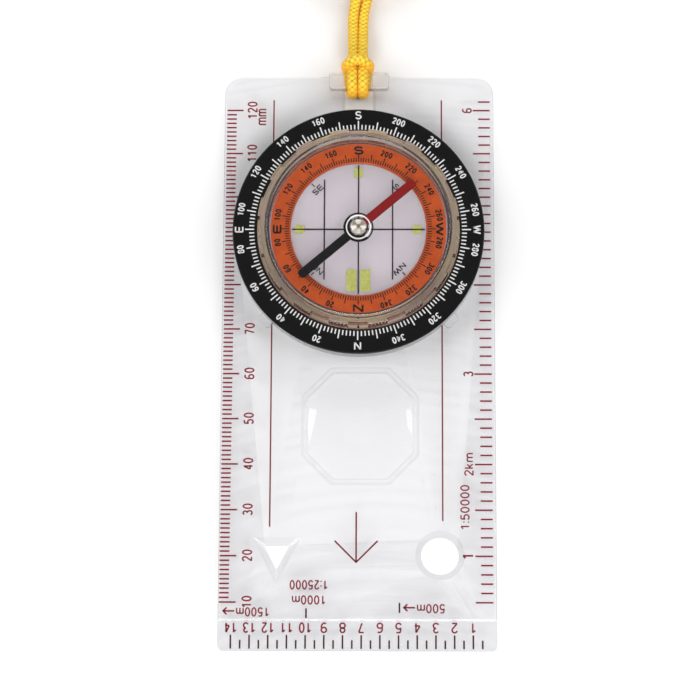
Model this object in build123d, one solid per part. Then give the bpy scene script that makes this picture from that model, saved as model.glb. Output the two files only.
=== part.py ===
from build123d import *
import math
import os

# Baseplate compass: a clear plate with a turning liquid capsule on it and a cord lanyard.
# Millimetres. X runs across the plate, Y along it towards the lanyard, Z up.
# The origin is under the middle of the plate (with the bow of its top edge) on the resting plane.

# Baseplate
plate_length = 128.0
plate_width = 60.0
plate_thickness = 2.4
top_corner_radius = 4.0
bottom_corner_radius = 1.0
edge_rounding = 0.5
ruling_edge_width = 6.7        # strip along the bottom edge that thins down to the map
ruling_edge_step = 0.35
ruling_edge_step_width = 0.5
ruling_edge_thickness = 1.5
edge_bow = 0.7                 # how far the top edge bows out behind the lanyard bar
edge_bow_length = 19.0

# Dial: its place, and the fixed pieces that hold the capsule
dial_setback = 36.3            # from the top edge to the dial's axis
recess_floor = 1.4             # what is left of the plate under the capsule
collar_height = 2.8            # above the plate
collar_reveal = 0.05           # the collar stands out past the black ring by this
ring_width = 5.4
ring_thickness = 0.8
ring_bevel = 0.2
turning_clearance = 0.15       # between the capsule and the fixed pieces round it
seating_clearance = 0.1        # under the capsule and over its skirt

# Capsule
neck_radius = 22.15            # the part that stands in the black ring, and the tips of the grips
skirt_width = 1.25             # how far the skirt reaches out under the black ring
capsule_wall = 2.65
grip_depth = 0.55
grip_count = 16
grip_foot = 0.6                # height of plain neck above the black ring
window_thickness = 1.0
window_overlap = 0.5           # the window's raised face reaches past the chamber by this
window_step_width = 0.5
window_step_height = 0.5
rim_rounding = 0.25
floor_rise = 0.2               # from the black ring's face up to the capsule's floor
floor_thickness = 1.2
floor_ledge = 0.6              # how far the floor reaches under its seat
floor_fit = 0.05
seal_thickness = 0.3
seal_inner_gap = 0.05          # the seal's inner edge stands back from the chamber wall by this
hub_radius = 1.5
hub_top_radius = 1.0
hub_height = 0.8

# Dial and marks inside the capsule
inner_dial_width = 4.4
inner_dial_gap = 0.2           # between the orange ring and the chamber wall
inner_dial_thickness = 0.6
inner_dial_bevel = 0.3
strip_thickness = 0.15
north_strip_width = 2.2
north_strip_length = 4.8
north_strip_gap = 0.8
strip_edge_gap = 1.0           # between a strip and the orange ring
cardinal_strip_width = 1.9
cardinal_strip_length = 2.0

# Filling hole, under the orange ring
plug_radius = 0.8
plug_angle = 200.0

# Pivot and needle
pin_radius = 0.35
pin_depth = 1.3                # how deep the pin sits in the hub
pin_height = 2.55              # from the floor to the pin's tip
pin_point_length = 0.5
pivot_play = 0.05
needle_drop = 0.75             # how far the needle's underside hangs below the pin's tip
needle_thickness = 0.2
needle_width = 2.0
red_tip_gap = 3.4              # between the red tip and the chamber wall
black_tip_gap = 2.7
needle_disc_radius = 3.3
needle_outline_width = 0.3     # thin rim and eye left round the openings beside the red arm
needle_tip_bevel = 0.45
needle_heading = 40.4          # direction of the red end, anticlockwise from +X
bush_radius = 1.85
bush_flange_radius = 2.75
bush_flange_thickness = 0.3
bush_foot = 0.2
bush_rise = 0.15               # above the pin's tip
jewel_radius = 1.0
jewel_thickness = 0.6
jewel_cup_radius = 0.6
cap_radius = 1.6
cap_tip_radius = 0.45
cap_height = 0.45
cap_headroom = 0.15            # between the cap and the window

# Magnifying lens: a dome in an octagonal frame
lens_place = 48.65             # from the bottom edge
lens_offset = 0.5
lens_width = 22.8
lens_length = 23.2
lens_corner_cut = 5.6
lens_frame_width = 1.5
lens_frame_height = 0.5
lens_frame_slope = 0.35        # bevel down to the dome
lens_dome_height = 1.7
lens_corner_rounding = 1.2

# Stencil holes: across from the middle, and from the bottom edge
round_hole_radius = 4.1
round_hole_place = (17.8, 20.4)
slot_border = 0.7              # bevel along both sides of the lanyard slot
triangle_side = 5.6
triangle_depth = 5.5
triangle_place = (-17.5, 22.7)
countersink_width = 1.25
triangle_border = 1.5
countersink_depth = 1.2

# Lugs that peep out from under the black ring
lug_angle = 46.0
lug_length = 3.4
lug_reach = 1.5
lug_height = 0.9

# Lanyard bar
bar_length = 13.4
bar_width = 4.0
bar_thickness = 1.9
bar_rounding = 0.8

# Lanyard cord
cord_diameter = 2.3
cord_lift = 0.05               # the cord clears the resting plane by this
hitch_slack = 0.8              # the hitch is this much wider than two cords
slot_play = 0.8                # the slot is this much wider than the hitch
bight_rise = 1.0
bight_set_in = 0.3             # the crossing bight lies this far inside the hitch's outer face
coil_turn_gap = 0.15
coil_turns = 4
coil_middle_radius = 12.4
coil_place = 37.0              # centre of the coil beyond the bar's outer edge
knot_half_sizes = (3.4, 2.7, 2.3)
knot_offset = 1.0

# The two strands from the hitch to the coil: across, beyond the bar's outer edge, and up.
# They leave the bar, sink to the table and swing round into the coil, the left one on top.
strand_left = [
    (-1.2, 2.3, 4.2), (-1.2, 5.7, 3.5), (-1.24, 9.3, 2.1), (-1.32, 13.8, 1.6),
    (-0.6, 18.8, 2.2), (2.7, 23.8, 3.3), (8.4, 28.3, 3.5),
]
strand_right = [
    (1.2, 2.3, 4.2), (1.2, 5.7, 3.5), (1.24, 9.3, 1.9), (1.32, 13.8, 1.3),
    (1.8, 18.8, 1.2), (4.2, 23.8, 1.2), (8.8, 28.3, 1.2),
]

# Places along the plate
bottom_edge = -(plate_length + edge_bow) / 2
top_edge = bottom_edge + plate_length
dial_y = top_edge - dial_setback
bar_outer = top_edge + edge_bow
bar_inner = bar_outer - bar_width
coil_y = bar_outer + coil_place

# Radii about the dial's axis
ring_inner_radius = neck_radius + turning_clearance
ring_outer_radius = ring_inner_radius + ring_width
collar_radius = ring_outer_radius + collar_reveal
skirt_radius = neck_radius + skirt_width
recess_radius = skirt_radius + turning_clearance
chamber_radius = neck_radius - capsule_wall
window_radius = chamber_radius + window_overlap
floor_radius = chamber_radius + floor_ledge
inner_dial_radius = chamber_radius - inner_dial_gap
inner_dial_inner_radius = inner_dial_radius - inner_dial_width
needle_red_length = chamber_radius - red_tip_gap
needle_black_length = chamber_radius - black_tip_gap

# Heights of what is stacked on the dial's axis
collar_top = plate_thickness + collar_height
ring_top = collar_top + ring_thickness
skirt_top = collar_top - seating_clearance
skirt_bottom = recess_floor + seating_clearance
floor_top = ring_top + floor_rise
floor_bottom = floor_top - floor_thickness
seat_height = floor_top + seal_thickness
pin_top = floor_top + pin_height
needle_bottom = pin_top - needle_drop
needle_top = needle_bottom + needle_thickness
bush_top = pin_top + bush_rise
window_bottom = bush_top + cap_height + cap_headroom
window_top = window_bottom + window_thickness
rim_top = window_top - window_step_height

# Lanyard
bar_bottom = plate_thickness
bar_top = bar_bottom + bar_thickness
cord_radius = cord_diameter / 2
hitch_width = 2 * cord_diameter + hitch_slack
bight_width = hitch_width + cord_diameter
slot_width = hitch_width + slot_play
coil_half_band = coil_turns * (cord_diameter + coil_turn_gap) / 2


def at_dial(shape):
    """A shape made about the origin, moved to the dial's axis."""
    return Pos(0, dial_y, 0) * shape


def tube(inner, outer, low, high):
    """A plain ring about Z."""
    section = Polyline((inner, 0, low), (outer, 0, low), (outer, 0, high), (inner, 0, high), close=True)
    return revolve(make_face(section), Axis.Z)


def turned(*profile):
    """A solid of revolution about Z through (radius, height) points."""
    section = Polyline(*[(radius, 0, height) for radius, height in profile], close=True)
    return revolve(make_face(section), Axis.Z)


def disc(radius, low, high):
    """A plain disc about Z."""
    return Pos(0, 0, low) * extrude(Circle(radius), amount=high - low)


def cut_octagon(width, length, corner_cut, rounding):
    """A rectangle with its corners cut off at 45 degrees, softened."""
    half_w = width / 2
    half_l = length / 2
    points = [
        (half_w, half_l - corner_cut), (half_w - corner_cut, half_l),
        (corner_cut - half_w, half_l), (-half_w, half_l - corner_cut),
        (-half_w, corner_cut - half_l), (corner_cut - half_w, -half_l),
        (half_w - corner_cut, -half_l), (half_w, corner_cut - half_l),
    ]
    outline = make_face(Polyline(*points, close=True))
    return fillet(outline.vertices(), rounding)


def triangle(side, depth, rounding):
    """A triangle with its point down, its top edge centred on the origin."""
    outline = make_face(Polyline((-side / 2, 0), (side / 2, 0), (0, -depth), close=True))
    return fillet(outline.vertices(), rounding)


def plate_blank():
    """The flat plate, bowed out behind the bar, with soft upper edges and a thin ruling edge."""
    middle = (bottom_edge + top_edge) / 2
    outline = Pos(0, middle) * Rectangle(plate_width, plate_length)
    corners = outline.vertices().group_by(Axis.Y)
    outline = fillet(corners[-1], top_corner_radius)
    outline = fillet(outline.vertices().group_by(Axis.Y)[0], bottom_corner_radius)
    half_bow = edge_bow_length / 2
    bow = ThreePointArc((-half_bow, top_edge), (0, top_edge + edge_bow), (half_bow, top_edge))
    sides = Polyline((half_bow, top_edge), (half_bow, bar_inner), (-half_bow, bar_inner), (-half_bow, top_edge))
    outline += make_face(bow + sides)
    plate = extrude(outline, amount=plate_thickness)
    plate = fillet(plate.edges().group_by(Axis.Z)[-1], edge_rounding)
    margin = 1.0
    slope = Polyline(
        (0, bottom_edge - margin, ruling_edge_thickness),
        (0, bottom_edge, ruling_edge_thickness),
        (0, bottom_edge + ruling_edge_width - ruling_edge_step_width, plate_thickness - ruling_edge_step),
        (0, bottom_edge + ruling_edge_width, plate_thickness),
        (0, bottom_edge + ruling_edge_width, plate_thickness + margin),
        (0, bottom_edge - margin, plate_thickness + margin),
        close=True,
    )
    shaving = extrude(make_face(slope), amount=plate_width / 2 + margin, both=True, dir=(1, 0, 0))
    return plate - shaving


def lens():
    """The magnifier that is moulded in the plate: a dome inside a raised, sloping frame."""
    frame_outline = cut_octagon(
        lens_width + 2 * lens_frame_width,
        lens_length + 2 * lens_frame_width,
        lens_corner_cut + lens_frame_width * (2 - math.sqrt(2)),
        lens_corner_rounding,
    )
    opening = cut_octagon(lens_width, lens_length, lens_corner_cut, lens_corner_rounding)
    raised = plate_thickness + lens_frame_height
    frame = extrude(frame_outline, amount=raised)
    frame = chamfer(frame.edges().group_by(Axis.Z)[-1], lens_frame_height, lens_frame_height * 1.2)
    frame -= Pos(0, 0, plate_thickness) * extrude(opening, amount=lens_frame_height)
    frame = chamfer(frame.faces().sort_by(Axis.Z)[-1].inner_wires()[0].edges(), lens_frame_slope)
    half_width = lens_length / 2
    dome_radius = (half_width ** 2 + lens_dome_height ** 2) / (2 * lens_dome_height)
    ball = Pos(0, 0, plate_thickness + lens_dome_height - dome_radius) * Sphere(dome_radius)
    dome = ball & (Pos(0, 0, plate_thickness / 2) * extrude(opening, amount=dome_radius))
    return Pos(lens_offset, bottom_edge + lens_place) * (frame + dome)


def round_hole():
    """The tool for the round stencil hole with its countersink."""
    shoulder = plate_thickness - countersink_depth
    bore = turned((0, -1), (round_hole_radius, -1), (round_hole_radius, shoulder),
                  (round_hole_radius + countersink_width, plate_thickness),
                  (round_hole_radius + countersink_width, plate_thickness + 1), (0, plate_thickness + 1))
    return Pos(round_hole_place[0], bottom_edge + round_hole_place[1]) * bore


def triangle_hole():
    """The tool for the triangular stencil hole with its sloping border."""
    point_rounding = 0.3
    through = extrude(triangle(triangle_side, triangle_depth, point_rounding), amount=plate_thickness)
    half_angle = math.atan2(triangle_side / 2, triangle_depth)
    wider = triangle_border / math.cos(half_angle) + triangle_border * math.tan(half_angle)
    deeper = triangle_border / math.sin(half_angle) + triangle_border
    border = triangle(triangle_side + 2 * wider, deeper + triangle_depth, point_rounding)
    shoulder = plate_thickness - countersink_depth
    low = Pos(0, 0, shoulder) * triangle(triangle_side, triangle_depth, point_rounding)
    high = Pos(0, triangle_border, plate_thickness) * border
    sink = loft([low, high])
    return Pos(triangle_place[0], bottom_edge + triangle_place[1]) * (through + sink)


def lugs():
    """Two small lugs at the foot of the collar."""
    made = []
    for side in (-1, 1):
        lug = Box(lug_length, 2 * lug_reach, lug_height, align=(Align.CENTER, Align.CENTER, Align.MIN))
        lug = fillet(lug.edges().filter_by(Axis.Z), lug_reach * 0.4)
        place = Rot(0, 0, side * lug_angle) * Pos(0, -collar_radius, plate_thickness) * lug
        made.append(at_dial(place))
    return made


def lanyard_bar():
    """The raised bar on the top edge."""
    middle = (bar_inner + bar_outer) / 2
    bar = Pos(0, middle, 0) * extrude(RectangleRounded(bar_length, bar_width, bar_rounding), amount=bar_top)
    return fillet(bar.edges().group_by(Axis.Z)[-1], bar_rounding * 0.7)


def lanyard_slot():
    """The tool for the slot in front of the bar and the tunnel that carries it on under the bar."""
    slot_start = dial_y + collar_radius - 0.5
    below = 1.0
    slot = Pos(0, (slot_start + bar_inner) / 2, -below) * extrude(
        Rectangle(slot_width, bar_inner - slot_start), amount=plate_thickness + 2 * below)
    half = slot_width / 2
    top = plate_thickness + below
    bevel = make_face(Polyline(
        (half + slot_border, slot_start, top), (half + slot_border, slot_start, plate_thickness),
        (half, slot_start, plate_thickness - slot_border), (-half, slot_start, plate_thickness - slot_border),
        (-half - slot_border, slot_start, plate_thickness), (-half - slot_border, slot_start, top), close=True))
    slot += extrude(bevel, amount=bar_inner - slot_start, dir=(0, 1, 0))
    collar = at_dial(disc(collar_radius, -below, plate_thickness + 2 * below))
    tunnel_end = bar_outer + below
    tunnel = Pos(0, (bar_inner + tunnel_end) / 2, -below) * extrude(
        Rectangle(slot_width, tunnel_end - bar_inner), amount=bar_bottom + below)
    return (slot - collar) + tunnel


def baseplate():
    """The whole clear moulding."""
    plate = plate_blank() + lanyard_bar() + lens()
    plate += at_dial(disc(collar_radius, 0, collar_top))
    for lug in lugs():
        plate += lug
    plate -= at_dial(disc(recess_radius, recess_floor, collar_top))
    plate -= round_hole()
    plate -= triangle_hole()
    plate -= lanyard_slot()
    return plate


def outer_dial_ring():
    """The fixed black ring, glued on the collar over the capsule's skirt."""
    return at_dial(turned(
        (ring_inner_radius, collar_top), (ring_outer_radius, collar_top),
        (ring_outer_radius, ring_top - ring_bevel), (ring_outer_radius - ring_bevel, ring_top),
        (ring_inner_radius, ring_top)))


def capsule_housing():
    """The clear turning cup: skirt, neck, grips and window in one piece."""
    step_in = window_radius + window_step_width
    floor_bore = floor_radius + floor_fit
    cup = turned(
        (0, window_bottom), (chamber_radius, window_bottom), (chamber_radius, seat_height),
        (floor_bore, seat_height), (floor_bore, skirt_bottom), (skirt_radius, skirt_bottom),
        (skirt_radius, skirt_top), (neck_radius, skirt_top), (neck_radius, rim_top),
        (step_in, rim_top), (window_radius, window_top), (0, window_top))
    circles = cup.edges().filter_by(GeomType.CIRCLE).group_by(Axis.Z)
    window_edge = circles[-1][0]
    rim_edge = circles[-2].sort_by(SortBy.RADIUS)[-1]
    cup = fillet([window_edge, rim_edge], rim_rounding)
    grip_angle = 360 / grip_count / 2
    grip_bottom = ring_top + grip_foot
    ring = tube(neck_radius - grip_depth, neck_radius + 1, grip_bottom, rim_top + 1)
    reach = neck_radius + 3
    spread = reach * math.tan(math.radians(grip_angle / 2))
    wedge = make_face(Polyline((0, 0), (reach, -spread), (reach, spread), close=True))
    wedge = Pos(0, 0, grip_bottom) * extrude(wedge, amount=rim_top + 1 - grip_bottom)
    hollow = ring & wedge
    for number in range(grip_count):
        cup -= Rot(0, 0, number * 360 / grip_count + 90) * hollow
    return at_dial(cup)


def capsule_floor():
    """The clear disc that closes the capsule, with the hub that holds the pivot pin."""
    floor = disc(floor_radius, floor_bottom, floor_top)
    hub_top = floor_top + hub_height
    floor += turned((0, floor_top - 0.1), (hub_radius, floor_top - 0.1), (hub_radius, floor_top),
                    (hub_top_radius, hub_top), (0, hub_top))
    floor -= disc(pin_radius, hub_top - pin_depth, hub_top)
    floor -= plug_blank()
    return at_dial(floor)


def plug_blank():
    """The filling plug, on the axis of its hole in the floor."""
    reach = (inner_dial_inner_radius + inner_dial_radius) / 2
    angle = math.radians(plug_angle)
    return Pos(reach * math.cos(angle), reach * math.sin(angle)) * disc(plug_radius, floor_bottom, floor_top)


def floor_seal():
    """The ring gasket between the floor and its seat in the housing."""
    return at_dial(tube(chamber_radius + seal_inner_gap, floor_radius, floor_top, seat_height))


def inner_dial_ring():
    """The orange ring that carries the inner degree scale."""
    top = floor_top + inner_dial_thickness
    return at_dial(turned(
        (inner_dial_inner_radius, floor_top), (inner_dial_radius, floor_top), (inner_dial_radius, top),
        (inner_dial_inner_radius + inner_dial_bevel, top),
        (inner_dial_inner_radius, top - inner_dial_bevel)))


def luminous_strips_north():
    """The pair of long strips, one each side of the north line."""
    reach = inner_dial_inner_radius - strip_edge_gap - north_strip_length / 2
    strip = extrude(Rectangle(north_strip_width, north_strip_length), amount=strip_thickness)
    offset = (north_strip_gap + north_strip_width) / 2
    return Compound([at_dial(Pos(side * offset, -reach, floor_top) * strip) for side in (-1, 1)])


def luminous_strip(angle):
    """One short strip at a cardinal point, its direction anticlockwise from +X."""
    reach = inner_dial_inner_radius - strip_edge_gap - cardinal_strip_length / 2
    strip = extrude(Rectangle(cardinal_strip_length, cardinal_strip_width), amount=strip_thickness)
    return at_dial(Rot(0, 0, angle) * Pos(reach, 0, floor_top) * strip)


def pivot_pin():
    """The steel point on which the needle turns."""
    bottom = floor_top + hub_height - pin_depth
    point = pin_top - pin_point_length
    return at_dial(turned((0, bottom), (pin_radius, bottom), (pin_radius, point), (0, pin_top)))


def needle_strip():
    """The flat steel needle, its red end towards needle_heading, with its disc open beside the red arm."""
    half = needle_width / 2
    bevel = needle_tip_bevel
    bar = make_face(Polyline(
        (-needle_black_length, half - bevel), (-needle_black_length + bevel, half),
        (needle_red_length - bevel, half), (needle_red_length, half - bevel),
        (needle_red_length, bevel - half), (needle_red_length - bevel, -half),
        (-needle_black_length + bevel, -half), (-needle_black_length, bevel - half), close=True))
    openings = Circle(needle_disc_radius - needle_outline_width) - Circle(bush_radius + needle_outline_width)
    openings &= Pos(needle_disc_radius, 0) * Rectangle(2 * needle_disc_radius, 2 * needle_disc_radius)
    openings -= Rectangle(4 * needle_disc_radius, needle_width)
    blank = bar + Circle(needle_disc_radius) - openings - Circle(bush_radius)
    strip = Pos(0, 0, needle_bottom) * extrude(blank, amount=needle_thickness)
    return at_dial(Rot(0, 0, needle_heading) * strip)


def needle_bush():
    """The clear bush that joins the needle to its jewel."""
    foot = needle_bottom - bush_foot
    flange_top = needle_top + bush_flange_thickness
    return at_dial(turned(
        (jewel_radius, foot), (bush_radius, foot), (bush_radius, needle_top),
        (bush_flange_radius, needle_top), (bush_flange_radius, flange_top),
        (bush_radius, flange_top), (bush_radius, bush_top), (jewel_radius, bush_top)))


def needle_jewel():
    """The hard cup that rides on the point of the pin."""
    bottom = bush_top - jewel_thickness
    return at_dial(turned(
        (jewel_cup_radius, bottom), (jewel_radius, bottom), (jewel_radius, bush_top),
        (0, bush_top), (0, pin_top + pivot_play)))


def needle_cap():
    """The small pale cone on top of the bush."""
    return at_dial(turned(
        (0, bush_top), (cap_radius, bush_top), (cap_tip_radius, bush_top + cap_height),
        (0, bush_top + cap_height)))


def lanyard_hitch():
    """The cow hitch round the bar: a band two cords wide with the crossing bight over it."""
    low = cord_lift
    high = bar_top + cord_diameter
    near = bar_inner - cord_diameter
    far = bar_outer + cord_diameter
    outer = Box(hitch_width, far - near, high - low)
    outer = fillet(outer.edges().filter_by(Axis.X), cord_radius)
    outer = Pos(0, (near + far) / 2, (low + high) / 2) * outer
    inner = Box(hitch_width + 1, bar_width, bar_thickness)
    inner = Pos(0, (bar_inner + bar_outer) / 2, (bar_bottom + bar_top) / 2) * inner
    straight = bight_width - cord_diameter
    bight = Rot(0, 90, 0) * Cylinder(cord_radius, straight)
    for side in (-1, 1):
        bight += Pos(side * straight / 2, 0, 0) * Sphere(cord_radius)
    return outer - inner + Pos(0, far - cord_radius - bight_set_in, high - cord_radius + bight_rise) * bight


def beyond_bar(route):
    """A strand's points moved from the bar's outer edge to their place."""
    return [(across, bar_outer + along, up) for across, along, up in route]


def cord_tube(points):
    """A round tube along straight runs joined by arcs as large as the runs allow."""
    vectors = [Vector(*point) for point in points]
    radii = []
    for before, here, after in zip(vectors, vectors[1:], vectors[2:]):
        turn = math.radians((here - before).get_angle(after - here))
        shorter = min((here - before).length, (after - here).length)
        radii.append(0.45 * shorter / math.tan(turn / 2))
    print("cord radii:", [round(radius, 1) for radius in radii])
    path = FilletPolyline(*points, radius=radii)
    section = Plane(origin=path @ 0, z_dir=path % 0) * Circle(cord_radius)
    solid = sweep(section, path=path)
    expected = math.pi * cord_radius ** 2 * path.length
    print("cord length %.2f, volume %.2f, expected %.2f" % (path.length, solid.volume, expected))
    return solid


def lanyard_coil():
    """The stored length of the doubled cord: a flat coil two cords high."""
    ring = tube(coil_middle_radius - coil_half_band, coil_middle_radius + coil_half_band,
                cord_lift, cord_lift + 2 * cord_diameter)
    ring = fillet(ring.edges(), cord_radius * 0.8)
    return Pos(0, coil_y, 0) * ring


def lanyard_end_knot():
    """The knot that joins both ends, lying inside the coil with a short stretch of the doubled cord."""
    half_circle = CenterArc((0, 0), 1, 0, 180)
    half_disc = make_face(half_circle + Line((-1, 0), (1, 0)))
    ball = scale(revolve(half_disc, Axis.X), by=knot_half_sizes)
    inner_radius = coil_middle_radius - coil_half_band
    lead_length = inner_radius - knot_offset + cord_radius * 0.4
    lead = Rot(0, 90, 0) * extrude(RectangleRounded(2 * cord_diameter - 0.2, cord_diameter, cord_radius * 0.9),
                                   amount=lead_length)
    centre_height = cord_lift + knot_half_sizes[2]
    return Pos(knot_offset, coil_y, centre_height) * (ball + lead)


os.makedirs("parts", exist_ok=True)

nodes = {
    "baseplate": baseplate(),
    "outer_dial_ring": outer_dial_ring(),
    "capsule_housing": capsule_housing(),
    "capsule_floor": capsule_floor(),
    "floor_seal": floor_seal(),
    "filler_plug": at_dial(plug_blank()),
    "inner_dial_ring": inner_dial_ring(),
    "luminous_strips_north": luminous_strips_north(),
    "luminous_strip_east": luminous_strip(180),
    "luminous_strip_south": luminous_strip(90),
    "luminous_strip_west": luminous_strip(0),
    "pivot_pin": pivot_pin(),
    "needle_strip": needle_strip(),
    "needle_bush": needle_bush(),
    "needle_jewel": needle_jewel(),
    "needle_cap": needle_cap(),
    "lanyard_hitch": lanyard_hitch(),
    "lanyard_strand_left": cord_tube(beyond_bar(strand_left)),
    "lanyard_strand_right": cord_tube(beyond_bar(strand_right)),
    "lanyard_coil": lanyard_coil(),
    "lanyard_end_knot": lanyard_end_knot(),
}

for name, solid in nodes.items():
    export_step(solid, "parts/%s.step" % name)
    box = solid.bounding_box()
    print("%-24s z %.2f to %.2f" % (name, box.min.Z, box.max.Z))
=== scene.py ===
import math

import bmesh
import bpy
from mathutils import Matrix, Vector


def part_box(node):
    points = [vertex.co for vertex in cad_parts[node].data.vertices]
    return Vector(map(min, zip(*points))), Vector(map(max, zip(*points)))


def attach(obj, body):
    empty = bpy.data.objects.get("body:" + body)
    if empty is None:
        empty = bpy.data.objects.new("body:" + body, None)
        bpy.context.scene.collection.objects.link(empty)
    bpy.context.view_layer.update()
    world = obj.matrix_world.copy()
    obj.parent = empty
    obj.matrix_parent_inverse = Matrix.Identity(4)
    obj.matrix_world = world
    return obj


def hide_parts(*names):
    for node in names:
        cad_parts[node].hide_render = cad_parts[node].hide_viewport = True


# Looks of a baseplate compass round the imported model: materials, printed marks and the braided lanyard.
# Lengths are in metres. Lists of points and printed marks are in millimetres, and say so.

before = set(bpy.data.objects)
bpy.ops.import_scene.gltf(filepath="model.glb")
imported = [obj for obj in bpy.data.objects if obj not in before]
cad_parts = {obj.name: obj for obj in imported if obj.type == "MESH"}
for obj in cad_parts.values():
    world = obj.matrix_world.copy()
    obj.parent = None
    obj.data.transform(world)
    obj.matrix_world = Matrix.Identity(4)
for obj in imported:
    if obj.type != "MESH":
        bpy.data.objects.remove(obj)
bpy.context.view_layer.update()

MM = 0.001

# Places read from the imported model
plate_low, plate_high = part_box("baseplate")
ring_low, ring_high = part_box("outer_dial_ring")
inner_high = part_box("inner_dial_ring")[1]
strips_low, strips_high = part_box("luminous_strips_north")
coil_low, coil_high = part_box("lanyard_coil")
knot_low, knot_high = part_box("lanyard_end_knot")
dial_centre = (ring_low + ring_high) / 2
coil_centre = (coil_low + coil_high) / 2
bottom_edge = plate_low.y
bar_outer = plate_high.y
floor_face = strips_low.z         # the capsule's floor, on which the strips lie

# Faces of the plate
plate_top = 2.4 * MM
recess_floor = 1.4 * MM

# Needle
needle_heading = 40.4             # direction of the red end, anticlockwise from +X
red_half_width = 0.97 * MM

# Ink
ink_thickness = 0.02 * MM
ink_gap = 0.01 * MM
letter_space = 0.09               # clear gap between neighbours, as a share of the height

# Prints on the plate, in millimetres: across from its middle and up from its bottom edge
fine_line = 0.37
guide_line = 0.32
side_scale_rise = 0.2             # the side scales' lines stand this far above their whole millimetres
left_scale_marks = range(10, 121)
left_scale_start = -29.75
left_scale_lean = 0.35 / 110      # the left scale runs very slightly askew
left_scale_long = 3.6
left_scale_short = 2.1
left_numbers = -23.8
left_numbers_rise = 0.05          # above their own line
left_number_height = 2.25
numbers_under_dial = (80, 90, 100)                         # left out, because the dial hides their place
right_scale_marks = range(10, 123, 2)
right_scale_end = 29.2
right_scale_long_start = 25.4
right_scale_short_start = 26.6
ruling_scale_start = 28.85        # from here the map scale runs to the left
hundred_metres = 4                # on a map of 1:25000
ruling_scale_rise = 0.25
ruling_scale_long = 2.95
ruling_scale_short = 1.85
ruling_numbers = 4.75
ruling_number_height = 2.35
ruling_digit_stretch = 1.2        # for one digit; two stand unstretched
# Text, across, up, height, turn, weight of its strokes, stretch
legends = [
    ("mm", -21.85, 118.7, 2.57, 90, 0.13, 0.885),
    ("1", 23.8, 20.2, 2.6, 90, 0.15, 1.0),
    ("2km", 24.1, 40.2, 2.05, 90, 0.15, 1.32),
    ("3", 24.1, 60.2, 2.25, 90, 0.15, 1.0),
    ("6", 24.1, 120.2, 2.25, 90, 0.15, 1.0),
    ("1:50000", 23.2, 30.8, 2.05, 90, 0.15, 1.3),
    ("1:25000", -10.45, 13.95, 2.1, 180, 0.15, 1.0),
    ("1000m", -10.4, 10.7, 2.05, 180, 0.15, 1.11),
    ("1500m", -22.45, 8.1, 2.05, 180, 0.15, 1.08),
    ("500m", 15.8, 8.9, 2.05, 180, 0.15, 1.14),
]
small_arrows = [((-26.4, 8.3), (-28.8, 8.3)), ((12.4, 9.1), (10.0, 9.1))]
small_arrow_head = 0.75
long_marks = [(-11.0, 6.8, 8.9), (9.05, 7.95, 10.15)]      # across, from, to
guide_lines = [(-19.0, 26.5), (18.4, 27.8)]                # across, lower end
guide_lines_below_dial = 71.4
guide_lines_above_dial = (112.4, 122.6)
direction_arrow = ((-0.3, 29.75), (-0.3, 18.85))
direction_arrow_line = 0.36
direction_arrow_head = 4.65

# Prints on the dials and in the capsule, in millimetres from the dial's axis
numbers = [(degrees, str(degrees)) for degrees in range(20, 360, 20) if degrees % 90]
quarters = [(0, "N"), (90, "E"), (180, "S"), (270, "W")]
half_quarters = [(45, "NE"), (135, "SE"), (225, "SW"), (315, "NW")]
outer_print_shift = (-0.1 * MM, 0.15 * MM)                 # the white print sits a little off the axis
capsule_line = 0.3
cross_reach = 14.6
meridian_offset = 7.5
meridian_reach = 11.3
half_quarter_tick = (13.7, 14.6)
half_quarter_tick_width = 0.2
index_reach = (20.7, 21.6)
index_width = 0.45

# Cord
cord_diameter = 2.3 * MM
hitch_cord_width = 2.4 * MM       # the cord lies a little flattened in the hitch
knot_cord_width = 2.254 * MM      # and is pulled tight in the knot
braid_sides = 32                  # faces round the cord
braid_columns = 8                 # crowns round the cord
braid_pitch = 1.0 * MM
braid_step = 0.13 * MM
braid_relief = 0.16 * MM
braid_middle = 0.65               # the height, from gap to crown, that lies at the cord's own radius

# Routes of the two strands from the hitch to the coil, in millimetres:
# across, beyond the bar's outer edge, and up
strand_left = [
    (-1.3, 2.3, 4.2), (-1.3, 5.7, 3.5), (-1.35, 9.3, 2.1), (-1.4, 13.8, 1.6),
    (-0.6, 18.8, 2.2), (2.7, 23.3, 3.3),
]
strand_right = [
    (0.75, 2.3, 4.2), (0.75, 5.7, 3.5), (0.8, 9.3, 1.9), (0.9, 13.8, 1.3),
    (1.8, 18.8, 1.2), (4.2, 22.2, 1.2),
]

# Coil: both sides run in it from the outside in, one on the other, and bend inwards to the knot
coil_layer_low = 1.22 * MM
coil_layer_high = 3.5 * MM
coil_outer = 16.1 * MM
coil_inner = 8.7 * MM
coil_turns = 4
coil_points_per_turn = 16
coil_start_angle = -62.0
lead_radius = 4.9 * MM
lead_angle = 150.0
lead_points = 8

# End knot: turns of cord wrapped round both ends
knot_set_in = 3.4 * MM            # from the solid's edge to the knot's middle
knot_turns = 2.5
knot_points = 40
knot_length = 4.4 * MM
knot_half_width = 1.5 * MM
knot_half_height = 1.1 * MM

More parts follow.
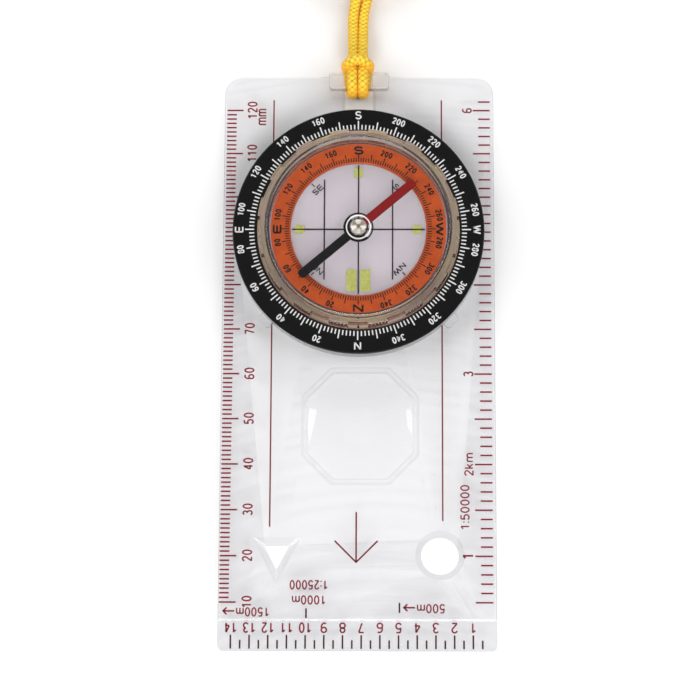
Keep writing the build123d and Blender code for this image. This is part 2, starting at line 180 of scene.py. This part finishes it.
# Half of the hitch's route, in millimetres as above, from where a strand leaves it to the middle of its bight
hitch_half = [
    (-1.1, 3.6, 3.95), (-1.1, 1.8, 4.6), (-1.14, -0.3, 5.35), (-1.2, -1.9, 5.5), (-1.17, -3.3, 5.25),
    (-1.12, -4.4, 4.3), (-1.12, -4.75, 2.7), (-1.35, -4.2, 1.4), (-1.75, -2.4, 1.2), (-1.9, -0.5, 1.2),
    (-2.3, 0.9, 1.5), (-2.5, 1.3, 2.9), (-2.5, 1.25, 4.6), (-2.35, 0.9, 6.1), (-1.35, 1.5, 7.15),
    (0.0, 1.8, 7.35),
]
hitch_offset = -0.3 * MM


# ---------------------------------------------------------------- camera, light and floor

def add_camera():
    """Looks down on the plate from high above its bottom edge."""
    data = bpy.data.cameras.new("camera")
    data.sensor_width = 36
    data.lens = 128.22
    camera = bpy.data.objects.new("camera", data)
    camera.location = (0.004191, -0.10976, 0.53736)
    camera.rotation_euler = [math.radians(angle) for angle in (11.7176, 0.5927, 0.2312)]
    bpy.context.scene.collection.objects.link(camera)
    bpy.context.scene.camera = camera


def add_softbox(name, place, size, power):
    """A rectangular lamp that points at the origin."""
    data = bpy.data.lights.new(name, "AREA")
    data.shape = "RECTANGLE"
    data.size, data.size_y = size
    data.energy = power
    lamp = bpy.data.objects.new(name, data)
    lamp.location = place
    lamp.rotation_euler = (-Vector(place)).to_track_quat("-Z", "Y").to_euler()
    bpy.context.scene.collection.objects.link(lamp)


def add_world(strength):
    world = bpy.data.worlds.new("studio")
    world.use_nodes = True
    background = world.node_tree.nodes["Background"]
    background.inputs["Color"].default_value = (1, 1, 1, 1)
    background.inputs["Strength"].default_value = strength
    bpy.context.scene.world = world


def add_floor():
    half = 1.5
    mesh = bpy.data.meshes.new("floor")
    corners = [(-half, -half, 0), (half, -half, 0), (half, half, 0), (-half, half, 0)]
    mesh.from_pydata(corners, [], [(0, 1, 2, 3)])
    floor = bpy.data.objects.new("floor", mesh)
    bpy.context.scene.collection.objects.link(floor)
    material, shader = plain("floor_white", (0.86, 0.86, 0.86), 0.9)
    mesh.materials.append(material)


# ---------------------------------------------------------------- materials

def plain(name, colour, roughness):
    """A material with one Principled shader."""
    material = bpy.data.materials.new(name)
    material.use_nodes = True
    shader = material.node_tree.nodes["Principled BSDF"]
    shader.inputs["Base Color"].default_value = (*colour, 1)
    shader.inputs["Roughness"].default_value = roughness
    return material, shader


def feed(material, socket, value):
    """Gives a socket a value, or links another node's output to it."""
    if isinstance(value, bpy.types.NodeSocket):
        material.node_tree.links.new(value, socket)
    else:
        socket.default_value = value


def add_node(material, kind, inputs, **settings):
    """A shader node with its settings; each input, by name or number, is fed a value or an output."""
    node = material.node_tree.nodes.new("ShaderNode" + kind)
    for name, value in settings.items():
        setattr(node, name, value)
    for name, value in inputs.items():
        feed(material, node.inputs[name], value)
    return node


def coordinates(material, kind):
    return add_node(material, "TexCoord", {}).outputs[kind]


def compute(material, operation, *values):
    """The result of a Math node on numbers or other nodes' outputs."""
    return add_node(material, "Math", dict(enumerate(values)), operation=operation).outputs["Value"]


def map_range(material, value, start, end, low=0.0, high=1.0, blend="LINEAR"):
    """How far a value is from start to end, turned into a number from low to high."""
    inputs = {"Value": value, "From Min": start, "From Max": end, "To Min": low, "To Max": high}
    return add_node(material, "MapRange", inputs, interpolation_type=blend).outputs["Result"]


def noise(material, scale, detail):
    place = coordinates(material, "Object")
    return add_node(material, "TexNoise", {"Vector": place, "Scale": scale, "Detail": detail}).outputs["Fac"]


def colour_ramp(material, share, stops):
    """Colours by share, blended between stops that are each a place and a colour."""
    ramp = add_node(material, "ValToRGB", {"Fac": share})
    elements = ramp.color_ramp.elements
    for element, (place, colour) in zip(elements, (stops[0], stops[-1])):
        element.position = place
        element.color = (*colour, 1)
    for place, colour in stops[1:-1]:
        elements.new(place).color = (*colour, 1)
    return ramp.outputs["Color"]


def colour_mix(material, share, first, second):
    """A blend of two colours; either can be a colour or another node's output."""
    ends = [(*colour, 1) if isinstance(colour, tuple) else colour for colour in (first, second)]
    mix = add_node(material, "Mix", {"Factor": share, "A": ends[0], "B": ends[1]}, data_type="RGBA")
    return mix.outputs["Result"]


def add_bump(material, shader, scale, strength, distance):
    """Fine noise bump in object space."""
    height = noise(material, scale, 3.0)
    bump = add_node(material, "Bump", {"Strength": strength, "Distance": distance, "Height": height})
    feed(material, shader.inputs["Normal"], bump.outputs["Normal"])


def vary_colour(material, shader, dark, light, scale):
    """Colour that wanders between two tones."""
    colour = colour_ramp(material, noise(material, scale, 4.0), ((0.35, dark), (0.65, light)))
    feed(material, shader.inputs["Base Color"], colour)


def clear_plastic(name, tint):
    """Clear moulded plastic. Light from lamps and light bounced off matt things goes straight through."""
    material, shader = plain(name, tint, 0.02)
    shader.inputs["IOR"].default_value = 1.49
    shader.inputs["Transmission Weight"].default_value = 1.0
    open_way = add_node(material, "BsdfTransparent", {"Color": (0.99, 0.99, 0.99, 1)}).outputs["BSDF"]
    surface = shader.outputs["BSDF"]
    ray = add_node(material, "LightPath", {})
    for kind in ("Is Diffuse Ray", "Is Shadow Ray"):
        choice = add_node(material, "MixShader", {"Fac": ray.outputs[kind], 1: surface, 2: open_way})
        surface = choice.outputs["Shader"]
    feed(material, material.node_tree.nodes["Material Output"].inputs["Surface"], surface)
    return material, shader


def steepness(material):
    """0 on level faces, 1 on upright ones, smooth between."""
    apart = add_node(material, "SeparateXYZ", {"Vector": coordinates(material, "Normal")})
    level = compute(material, "ABSOLUTE", apart.outputs["Z"])
    return map_range(material, level, 0.97, 0.3, blend="SMOOTHSTEP")


def from_axis(material):
    """The place measured from the middle of the dial."""
    place = coordinates(material, "Object")
    shift = add_node(material, "VectorMath", {0: place, 1: dial_centre}, operation="SUBTRACT")
    return shift.outputs["Vector"]


def distance_share(material, near, far):
    """0 nearer the dial's axis than near, 1 beyond far."""
    flat = add_node(material, "VectorMath", {0: from_axis(material), 1: (1, 1, 0)}, operation="MULTIPLY")
    reach = add_node(material, "VectorMath", {0: flat.outputs["Vector"]}, operation="LENGTH")
    return map_range(material, reach.outputs["Value"], near, far)


def clear_plate():
    """Clear plastic with painted shade: its moulded walls and bevels are tinted grey, the steeper the darker.
    """
    tint = (0.83, 0.828, 0.855)
    material, shader = clear_plastic("clear_plate", tint)
    # Painted shade: steep faces, walls and bevels, are tinted grey.
    colour = colour_mix(material, steepness(material), tint, (0.36, 0.35, 0.37))
    feed(material, shader.inputs["Base Color"], colour)
    return material


def clear_capsule():
    """A clear window inside thick walls whose colour is painted light and shade: warm bands of painted
    highlight and shade round the dial, olive blotches of painted reflection, and painted shade, darkest, on
    upright faces.
    """
    cream, pink, brown, olive = (1.0, 0.90, 0.76), (1.0, 0.66, 0.54), (0.70, 0.38, 0.28), (0.97, 0.80, 0.46)
    material, shader = clear_plastic("clear_capsule_fine", (0.97, 0.96, 0.96))
    # Painted light: cream, brown and pink bands by distance from the axis paint the warm glow of the orange
    # ring through the bezel and its bright and dark edge lines.
    painted_light_rings = colour_ramp(
        material, distance_share(material, 19.9 * MM, 22.1 * MM),
        ((0.0, cream), (0.2, brown), (0.4, cream), (0.62, pink), (0.82, cream), (1.0, pink)))
    # Painted reflection: olive blotches of tinted reflection.
    painted_reflection_patches = map_range(material, noise(material, 180.0, 2.0), 0.42, 0.62, 0.0, 0.75)
    level = colour_mix(material, painted_reflection_patches, painted_light_rings, olive)
    # Painted shade: upright faces turn brown.
    painted_shade_wall = colour_mix(material, steepness(material), level, brown)
    beyond_window = distance_share(material, 19.9 * MM, 20.3 * MM)
    feed(material, shader.inputs["Base Color"], colour_mix(material, beyond_window, (0.98, 0.97, 0.97), painted_shade_wall))
    return material


def clear_floor():
    """Slightly milky clear plastic."""
    material, shader = clear_plastic("clear_floor_fine", (0.84, 0.78, 0.83))
    shader.inputs["Transmission Weight"].default_value = 0.7
    return material


def clear_bush():
    """Clear plastic with a pale, nearly opaque rim: painted highlight for the bright ring round the bush."""
    material, shader = clear_plastic("clear_bush_fine", (0.95, 0.94, 0.92))
    beyond_body = distance_share(material, 2.45 * MM, 2.5 * MM)
    # Painted highlight: beyond the body the plastic is almost opaque and pale.
    clearness = map_range(material, beyond_body, 0.0, 1.0, 1.0, 0.15)
    feed(material, shader.inputs["Transmission Weight"], clearness)
    return material


def black_plastic():
    material, shader = plain("black_plastic_fine", (0.002, 0.002, 0.002), 0.32)
    shader.inputs["Specular IOR Level"].default_value = 0.45
    vary_colour(material, shader, (0.0015, 0.0017, 0.0018), (0.0028, 0.003, 0.003), 900.0)
    add_bump(material, shader, 4000.0, 0.15, 0.02 * MM)
    return material


def orange_plastic():
    material, shader = plain("orange_plastic_fine", (0.72, 0.13, 0.014), 0.45)
    shader.inputs["Specular IOR Level"].default_value = 0.3
    vary_colour(material, shader, (0.38, 0.053, 0.005), (0.46, 0.068, 0.007), 500.0)
    add_bump(material, shader, 3000.0, 0.1, 0.02 * MM)
    return material


def luminous_paint():
    material, shader = plain("luminous_paint", (0.46, 0.56, 0.12), 0.6)
    vary_colour(material, shader, (0.36, 0.38, 0.08), (0.46, 0.47, 0.13), 1500.0)
    add_bump(material, shader, 5000.0, 0.3, 0.03 * MM)
    return material


def needle_enamel():
    """Red on one arm of the needle, black on the disc and the other arm, in the needle's own directions."""
    material, shader = plain("needle_enamel", (0.3, 0.01, 0.01), 0.35)
    shader.inputs["Specular IOR Level"].default_value = 0.2
    heading = math.radians(needle_heading)
    forwards = (math.cos(heading), math.sin(heading), 0)
    sideways = (-math.sin(heading), math.cos(heading), 0)
    along, across = [
        add_node(material, "VectorMath", {0: from_axis(material), 1: way}, operation="DOT_PRODUCT")
        for way in (forwards, sideways)]
    ahead = compute(material, "GREATER_THAN", along.outputs["Value"], 0.0)
    aside = compute(material, "ABSOLUTE", across.outputs["Value"])
    narrow = compute(material, "LESS_THAN", aside, red_half_width)
    red = compute(material, "MULTIPLY", ahead, narrow)
    colour = colour_mix(material, red, (0.003, 0.003, 0.003), (0.21, 0.006, 0.006))
    feed(material, shader.inputs["Base Color"], colour)
    add_bump(material, shader, 6000.0, 0.08, 0.02 * MM)
    return material


def metal(name, colour, roughness):
    material, shader = plain(name, colour, roughness)
    shader.inputs["Metallic"].default_value = 1.0
    add_bump(material, shader, 3000.0, 0.1, 0.02 * MM)
    return material


def ink(name, colour):
    material, shader = plain(name, colour, 0.5)
    shader.inputs["Specular IOR Level"].default_value = 0.2
    return material


def braid_yarn():
    """Yellow yarn with painted light and shade: painted shade, brown, in the gaps by its stored height,
    painted light on the crowns, and painted shade, orange, on the flanks.
    """
    material, shader = plain("yellow_braid", (0.85, 0.5, 0.03), 0.6)
    shader.inputs["Specular IOR Level"].default_value = 0.3
    shader.inputs["Sheen Weight"].default_value = 0.1
    height = add_node(material, "Attribute", {}, attribute_name="crown")
    # Painted shade, brown, in the braid's gaps and painted light on its crowns, by the stored height.
    yarn_light_and_shade = colour_ramp(
        material, height.outputs["Fac"],
        ((0.12, (0.28, 0.13, 0.002)), (0.42, (0.80, 0.50, 0.02)), (0.8, (0.90, 0.70, 0.06))))
    # Painted shade: steep faces of the cord turn orange.
    painted_flank_shade = compute(material, "MULTIPLY", steepness(material), 0.8)
    colour = colour_mix(material, painted_flank_shade, yarn_light_and_shade, (0.88, 0.38, 0.003))
    feed(material, shader.inputs["Base Color"], colour)
    add_bump(material, shader, 9000.0, 0.35, 0.04 * MM)
    return material


# ---------------------------------------------------------------- printed marks

def arc(centre, reach, start, end, count=12):
    """Points along part of an ellipse, angles anticlockwise in degrees."""
    points = []
    for number in range(count + 1):
        angle = math.radians(start + (end - start) * number / count)
        points.append((centre[0] + reach[0] * math.cos(angle), centre[1] + reach[1] * math.sin(angle)))
    return points


def loop(centre, reach):
    return arc(centre, reach, 0, 360, 24)


# Letters and digits as centre lines in a box of height 1: each has its width, then its strokes.
six = [loop((0.23, 0.27), (0.23, 0.27)), arc((0.27, 0.5), (0.27, 0.5), 180, 55)]
glyphs = {
    "0": (0.46, [loop((0.23, 0.5), (0.23, 0.5))]),
    "1": (0.46, [[(0.28, 0), (0.28, 1)], [(0.26, 0.97), (0.05, 0.74)]]),
    "2": (0.46, [arc((0.23, 0.74), (0.22, 0.26), 170, -40) + [(0.02, 0.02)], [(0, 0), (0.46, 0)]]),
    "3": (0.46, [arc((0.22, 0.77), (0.2, 0.23), 155, -90), arc((0.22, 0.27), (0.24, 0.27), 90, -155)]),
    "4": (0.46, [[(0.34, 0), (0.34, 1)], [(0.32, 0.98), (0, 0.3)], [(0, 0.28), (0.46, 0.28)]]),
    "5": (0.46, [[(0.43, 1), (0.08, 1)], [(0.08, 1), (0.03, 0.5)],
                 arc((0.22, 0.31), (0.24, 0.31), 140, -155)]),
    "6": (0.46, six),
    "7": (0.46, [[(0, 1), (0.46, 1)], [(0.44, 0.98), (0.16, 0)]]),
    "8": (0.46, [loop((0.23, 0.76), (0.2, 0.24)), loop((0.23, 0.26), (0.23, 0.26))]),
    "9": (0.46, [[(0.46 - x, 1 - y) for x, y in stroke] for stroke in six]),
    "N": (0.5, [[(0, 0), (0, 1)], [(0.5, 0), (0.5, 1)], [(0, 1), (0.5, 0)]]),
    "E": (0.46, [[(0, 0), (0, 1)], [(0, 1), (0.46, 1)], [(0, 0.5), (0.42, 0.5)], [(0, 0), (0.46, 0)]]),
    "S": (0.46, [arc((0.23, 0.75), (0.21, 0.25), 20, 250) + arc((0.23, 0.26), (0.23, 0.26), 70, -160)]),
    "W": (0.7, [[(0, 1), (0.17, 0)], [(0.17, 0), (0.35, 1)], [(0.35, 1), (0.53, 0)], [(0.53, 0), (0.7, 1)]]),
    "m": (0.74, [[(0, 0), (0, 0.7)], arc((0.185, 0.48), (0.185, 0.22), 180, 0) + [(0.37, 0)],
                 arc((0.555, 0.48), (0.185, 0.22), 180, 0) + [(0.74, 0)]]),
    "k": (0.4, [[(0, 0), (0, 1)], [(0, 0.28), (0.36, 0.7)], [(0.14, 0.42), (0.38, 0)]]),
    ":": (0.0, [[(0, 0), (0, 0.14)], [(0, 0.56), (0, 0.7)]]),
}


class Print:
    """Printed marks on one flat face, given in millimetres from an origin: thin solid ribbons in one mesh."""

    def __init__(self, height, origin, thickness=ink_thickness):
        self.mesh = bmesh.new()
        self.low = height + ink_gap
        self.high = self.low + thickness
        self.origin = Vector(origin)

    def rims(self, spots, width, closed):
        """The four corners of the ribbon's section at each of its points."""
        count = len(spots)
        rims = []
        for number, spot in enumerate(spots):
            before = spots[number - 1] if closed or number else spot
            after = spots[(number + 1) % count] if closed or number < count - 1 else spot
            back = (spot - before).normalized()
            ahead = (after - spot).normalized()
            way = (back + ahead).normalized()
            mitre = max(0.5, (ahead if ahead.length else back).dot(way))
            aside = Vector((way.y, -way.x)) * width / 2 / mitre
            rims.append([
                self.mesh.verts.new((*(self.origin + (spot + side * aside) * MM), z))
                for z in (self.low, self.high) for side in (1, -1)])
        return rims

    def ribbon(self, points, width):
        """A line of ink of constant width through flat points, or a ring where its ends meet."""
        spots = [Vector(point) for point in points]
        closed = (spots[0] - spots[-1]).length < width * 0.01
        if closed:
            spots.pop()
        rims = self.rims(spots, width, closed)
        for near, far in zip(rims, rims[1:] + rims[:1] if closed else rims[1:]):
            right_low, left_low, right_high, left_high = near
            far_right_low, far_left_low, far_right_high, far_left_high = far
            self.mesh.faces.new((right_high, far_right_high, far_left_high, left_high))
            self.mesh.faces.new((right_low, left_low, far_left_low, far_right_low))
            self.mesh.faces.new((right_low, far_right_low, far_right_high, right_high))
            self.mesh.faces.new((left_low, left_high, far_left_high, far_left_low))
        if not closed:
            right_low, left_low, right_high, left_high = rims[0]
            self.mesh.faces.new((right_low, right_high, left_high, left_low))
            right_low, left_low, right_high, left_high = rims[-1]
            self.mesh.faces.new((right_low, left_low, left_high, right_high))

    def ray(self, angle, near, far, width):
        """A radial line about the origin."""
        way = Vector((math.cos(math.radians(angle)), math.sin(math.radians(angle))))
        self.ribbon([way * near, way * far], width)

    def words(self, text, place, height, turn, weight=0.15, stretch=1.0):
        """Letters centred on place and turned anticlockwise; weight is the stroke's share of the height."""
        stroke = height * weight
        tall = height - stroke
        space = letter_space * height * stretch + stroke
        length = sum(glyphs[letter][0] for letter in text) * tall * stretch + space * (len(text) - 1)
        spin = Matrix.Rotation(math.radians(turn), 2)
        across = -length / 2
        for letter in text:
            width, strokes = glyphs[letter]
            for points in strokes:
                self.ribbon([
                    Vector(place) + spin @ Vector((across + x * tall * stretch, (y - 0.5) * tall))
                    for x, y in points], stroke)
            across += width * tall * stretch + space

    def arrow(self, tail, tip, head, width):
        """An arrow with an open head whose arms run back at 45 degrees."""
        tail, tip = Vector(tail), Vector(tip)
        back = (tail - tip).normalized()
        aside = Vector((back.y, -back.x))
        self.ribbon([tail, tip], width)
        self.ribbon([tip + (back + aside) * head, tip, tip + (back - aside) * head], width)

    def finish(self, name, body, material):
        shape = bpy.data.meshes.new(name)
        self.mesh.to_mesh(shape)
        self.mesh.free()
        shape.materials.append(material)
        piece = bpy.data.objects.new(name, shape)
        bpy.context.scene.collection.objects.link(piece)
        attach(piece, body)


def plate_scales(material):
    """The dark red scales, numbers and legends on the plate's top face."""
    marks = Print(plate_top, (0, bottom_edge))
    for number in left_scale_marks:
        y = number + side_scale_rise
        x = left_scale_start + left_scale_lean * (y - left_scale_marks[0])
        whole = number % 10 == 0
        marks.ribbon([(x, y), (x + (left_scale_long if whole else left_scale_short), y)], fine_line)
        if whole and number not in numbers_under_dial:
            marks.words(str(number), (left_numbers, y + left_numbers_rise), left_number_height, 90)
    for number in right_scale_marks:
        y = number + side_scale_rise
        x = right_scale_long_start if number % 10 == 0 else right_scale_short_start
        marks.ribbon([(x, y), (right_scale_end, y)], fine_line)
    for hundreds in range(1, 15):
        place = (ruling_scale_start - hundred_metres * hundreds, ruling_numbers)
        stretch = ruling_digit_stretch if hundreds < 10 else 1.0
        marks.words(str(hundreds), place, ruling_number_height, 180, stretch=stretch)
    for text, x, y, height, turn, weight, stretch in legends:
        marks.words(text, (x, y), height, turn, weight, stretch)
    for tail, tip in small_arrows:
        marks.arrow(tail, tip, small_arrow_head, fine_line)
    marks.finish("print_scales", "plate", material)


def ruling_edge_ticks(material):
    """The nearly black ticks of the map scale on the ruling edge, and its two longer marks."""
    marks = Print(plate_top, (0, bottom_edge))
    for half in range(1, 29):
        x = ruling_scale_start - hundred_metres / 2 * half
        reach = ruling_scale_long if half % 2 == 0 else ruling_scale_short
        marks.ribbon([(x, ruling_scale_rise), (x, ruling_scale_rise + reach)], fine_line)
    for x, low, high in long_marks:
        marks.ribbon([(x, low), (x, high)], fine_line)
    marks.finish("print_ruling_edge_ticks", "plate", material)


def plate_lines(material):
    """The long guide lines and the direction arrow."""
    marks = Print(plate_top, (0, bottom_edge))
    for x, low in guide_lines:
        for start, end in ((low, guide_lines_below_dial), guide_lines_above_dial):
            marks.ribbon([(x, start), (x, end)], guide_line)
    marks.arrow(*direction_arrow, direction_arrow_head, direction_arrow_line)
    marks.finish("print_direction_arrow_and_lines", "plate", material)


def bearing_angle(degrees):
    """Where a bearing lies on the dial, anticlockwise from +X: north is at the foot, east on the left."""
    return -90.0 - degrees


def ring_scale(marks, near, far, ten_far, width):
    """Ticks every two degrees, the longer ones every ten."""
    for degrees in range(0, 360, 2):
        marks.ray(bearing_angle(degrees), near, ten_far if degrees % 10 == 0 else far, width)


def round_words(marks, labels, reach, height, weight, stretch):
    """Labels by bearing, set round the dial with their tops outwards."""
    for degrees, label in labels:
        angle = bearing_angle(degrees)
        way = Vector((math.cos(math.radians(angle)), math.sin(math.radians(angle))))
        marks.words(label, way * reach, height, angle - 90, weight, stretch)


def outer_scale(material):
    marks = Print(ring_high.z, dial_centre.xy + Vector(outer_print_shift))
    ring_scale(marks, near=22.85, far=23.95, ten_far=24.85, width=0.27)
    round_words(marks, numbers, reach=26.15, height=1.5, weight=0.17, stretch=1.07)
    round_words(marks, quarters, reach=26.15, height=1.9, weight=0.16, stretch=1.55)
    marks.finish("print_outer_scale", "plate", material)


def inner_scale(material):
    marks = Print(inner_high.z, dial_centre.xy)
    ring_scale(marks, near=15.25, far=16.15, ten_far=17.05, width=0.21)
    round_words(marks, numbers, reach=18.0, height=1.4, weight=0.2, stretch=1.0)
    round_words(marks, quarters, reach=17.85, height=1.95, weight=0.22, stretch=2.5)
    marks.finish("print_inner_scale", "capsule", material)


def capsule_lines(material):
    """The cross, the two meridian lines and the labels between the quarters, as high as the strips."""
    marks = Print(floor_face, dial_centre.xy, strips_high.z - floor_face + ink_thickness)
    marks.ribbon([(0, -cross_reach), (0, cross_reach)], capsule_line)
    marks.ribbon([(-cross_reach, 0), (cross_reach, 0)], capsule_line)
    for x in (-meridian_offset, meridian_offset):
        marks.ribbon([(x, -meridian_reach), (x, meridian_reach)], capsule_line)
    round_words(marks, half_quarters, reach=12.7, height=1.3, weight=0.15, stretch=2.0)
    for degrees, label in half_quarters:
        marks.ray(bearing_angle(degrees), *half_quarter_tick, half_quarter_tick_width)
    marks.finish("print_capsule_lines", "capsule", material)


def index_mark(material):
    """The short black line on the recess's floor, at the foot of the dial."""
    marks = Print(recess_floor, dial_centre.xy)
    marks.ray(bearing_angle(0), *index_reach, index_width)
    marks.finish("print_index_mark", "plate", material)


# ---------------------------------------------------------------- cord

def nurbs_line(points):
    """The smooth line that a cord follows, as points close together along a NURBS spline."""
    curve = bpy.data.curves.new("line", "CURVE")
    curve.dimensions = "3D"
    spline = curve.splines.new("NURBS")
    spline.points.add(len(points) - 1)
    for spot, point in zip(spline.points, points):
        spot.co = (*point, 1)
    spline.order_u = 3
    spline.use_endpoint_u = True
    spline.resolution_u = 24
    holder = bpy.data.objects.new("line", curve)
    shape = bpy.data.meshes.new_from_object(holder)
    line = [vertex.co.copy() for vertex in shape.vertices]
    bpy.data.objects.remove(holder)
    bpy.data.curves.remove(curve)
    bpy.data.meshes.remove(shape)
    return line


def evenly(line, step):
    """The same line with points a fixed step apart, and its length."""
    lengths = [0.0]
    for before, after in zip(line, line[1:]):
        lengths.append(lengths[-1] + (after - before).length)
    count = max(2, round(lengths[-1] / step))
    spots = []
    place = 0
    for number in range(count + 1):
        target = lengths[-1] * number / count
        while place < len(line) - 2 and lengths[place + 1] < target:
            place += 1
        run = lengths[place + 1] - lengths[place]
        share = 0 if run == 0 else (target - lengths[place]) / run
        spots.append(line[place].lerp(line[place + 1], share))
    return spots, lengths[-1]


def crown_height(column, row):
    """Height of a plain braid's surface, 0 in a gap and 1 on a crown, by place round and along the cord."""
    p = column + 2 * row
    q = column - 2 * row
    cell_p = math.floor(p / 2)
    cell_q = math.floor(q / 2)
    dp = p / 2 - cell_p - 0.5
    dq = q / 2 - cell_q - 0.5
    across, along = (dq, dp) if (cell_p + cell_q) % 2 == 0 else (dp, dq)
    return math.sqrt(max(0.0, 1 - 4 * across * across)) * (1 - 0.85 * abs(2 * along) ** 3)


def braided_tube(name, line, diameter, material):
    """A braided cord as a closed mesh tube that stores its surface's height, and the points along it."""
    spots, length = evenly(line, braid_step)
    tangents = []
    for number in range(len(spots)):
        before = spots[max(0, number - 1)]
        after = spots[min(len(spots) - 1, number + 1)]
        tangents.append((after - before).normalized())
    vertices, crowns, faces = [], [], []
    aside = tangents[0].orthogonal().normalized()
    for number, (spot, tangent) in enumerate(zip(spots, tangents)):
        aside = (aside - tangent * aside.dot(tangent)).normalized()
        other = tangent.cross(aside)
        row = length / braid_pitch * number / (len(spots) - 1)
        for turn in range(braid_sides):
            angle = 2 * math.pi * turn / braid_sides
            crown = crown_height(braid_columns * turn / braid_sides, row)
            radius = diameter / 2 + braid_relief * (crown - braid_middle)
            vertices.append(spot + (aside * math.cos(angle) + other * math.sin(angle)) * radius)
            crowns.append(crown)
    for low in range(0, (len(spots) - 1) * braid_sides, braid_sides):
        high = low + braid_sides
        for turn in range(braid_sides):
            after = (turn + 1) % braid_sides
            faces.append((low + turn, low + after, high + after, high + turn))
    last = len(vertices) - braid_sides
    faces.append(tuple(reversed(range(braid_sides))))
    faces.append(tuple(range(last, last + braid_sides)))
    mesh = bpy.data.meshes.new(name)
    mesh.from_pydata(vertices, [], faces)
    store = mesh.attributes.new("crown", "FLOAT", "POINT")
    store.data.foreach_set("value", crowns)
    mesh.shade_smooth()
    mesh.materials.append(material)
    piece = bpy.data.objects.new(name, mesh)
    bpy.context.scene.collection.objects.link(piece)
    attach(piece, "plate")
    return piece, spots


def beyond_bar(points):
    return [Vector((x * MM, bar_outer + y * MM, z * MM)) for x, y, z in points]


def coil_points(height):
    """The turns of the stored length, from the outside in, and the end that leads to the knot."""
    points = []
    count = coil_turns * coil_points_per_turn
    for number in range(count + 1):
        share = number / count
        radius = coil_outer + (coil_inner - coil_outer) * share
        angle = math.radians(coil_start_angle + 360 * coil_turns * share)
        place = Vector((radius * math.cos(angle), radius * math.sin(angle), height))
        points.append(coil_centre.xy.to_3d() + place)
    start = math.radians(coil_start_angle)
    outwards = Vector((math.cos(start), math.sin(start), 0))
    bend_centre = points[-1] - lead_radius * outwards
    for number in range(1, lead_points + 1):
        spin = Matrix.Rotation(math.radians(lead_angle * number / lead_points), 3, "Z")
        points.append(bend_centre + lead_radius * (spin @ outwards))
    return points


def lanyard_cord(name, strand, height, material, nodes):
    """One side of the lanyard, from the hitch through the coil to the knot."""
    line = nurbs_line(beyond_bar(strand) + coil_points(height))
    piece, spots = braided_tube(name, line, cord_diameter, material)
    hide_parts(*nodes)


def lanyard_hitch(material):
    """The cow hitch round the bar: half of its route and the same half mirrored."""
    half = beyond_bar(hitch_half)
    mirrored = [Vector((-point.x, point.y, point.z)) for point in reversed(half[:-1])]
    line = [point + Vector((hitch_offset, 0, 0)) for point in nurbs_line(half + mirrored)]
    piece = braided_tube("hitch_braid", line, hitch_cord_width, material)[0]
    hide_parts("lanyard_hitch")


def end_knot(material):
    """Turns of cord wrapped round both ends."""
    centre = Vector((knot_low.x + knot_set_in, coil_centre.y, (knot_low.z + knot_high.z) / 2))
    points = []
    for number in range(knot_points + 1):
        share = number / knot_points
        angle = 2 * math.pi * knot_turns * share
        along = (share - 0.5) * knot_length
        across, up = knot_half_width * math.cos(angle), knot_half_height * math.sin(angle)
        points.append(centre + Vector((along, across, up)))
    piece = braided_tube("end_knot_braid", nurbs_line(points), knot_cord_width, material)[0]
    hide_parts("lanyard_end_knot")
    return piece


def dress(material, *nodes):
    """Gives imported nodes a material."""
    for node in nodes:
        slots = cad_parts[node].data.materials
        for number in range(len(slots)):
            slots[number] = material


# ---------------------------------------------------------------- making

add_camera()
yarn = braid_yarn()
lanyard_hitch(yarn)
knot = end_knot(yarn)
lanyard_cord("lanyard_cord_right", strand_right, coil_layer_low, yarn, ["lanyard_strand_right"])
lanyard_cord("lanyard_cord_left", strand_left, coil_layer_high, yarn,
             ["lanyard_strand_left", "lanyard_coil"])

dress(clear_plate(), "baseplate")
dress(clear_capsule(), "capsule_housing")
dress(clear_floor(), "capsule_floor", "filler_plug")
dress(clear_bush(), "needle_bush")
dress(black_plastic(), "outer_dial_ring")
dress(orange_plastic(), "inner_dial_ring")
dress(luminous_paint(), "luminous_strips_north", "luminous_strip_east", "luminous_strip_south",
      "luminous_strip_west")
dress(needle_enamel(), "needle_strip")
dress(metal("cap_silver", (0.48, 0.45, 0.39), 0.34), "needle_cap")
dress(metal("pin_steel_fine", (0.6, 0.6, 0.6), 0.3), "pivot_pin")
dress(plain("jewel_red", (0.3, 0.02, 0.03), 0.15)[0], "needle_jewel")
dress(plain("seal_dark", (0.05, 0.035, 0.04), 0.6)[0], "floor_seal")

plate_scales(ink("ink_dark_red", (0.21, 0.018, 0.03)))
plate_lines(ink("ink_brown_red", (0.17, 0.018, 0.022)))
ruling_edge_ticks(ink("ink_dark_brown", (0.055, 0.014, 0.018)))
outer_scale(ink("ink_white", (0.68, 0.68, 0.68)))
ink_black = ink("ink_black", (0.005, 0.004, 0.004))
inner_scale(ink_black)
capsule_lines(ink_black)
index_mark(ink_black)

add_floor()
add_world(0.12)
add_softbox("softbox_left", place=(-0.9, 0.1, 0.7), size=(0.7, 0.9), power=6.7)
add_softbox("softbox_right", place=(0.9, 0.1, 0.7), size=(0.7, 0.9), power=6.1)
add_softbox("softbox_front", place=(0.0, -0.9, 0.7), size=(0.9, 0.7), power=10.8)
add_softbox("softbox_back", place=(0.0, 1.15, 0.5), size=(0.9, 0.4), power=6.2)
bpy.context.scene.view_settings.view_transform = "Standard"
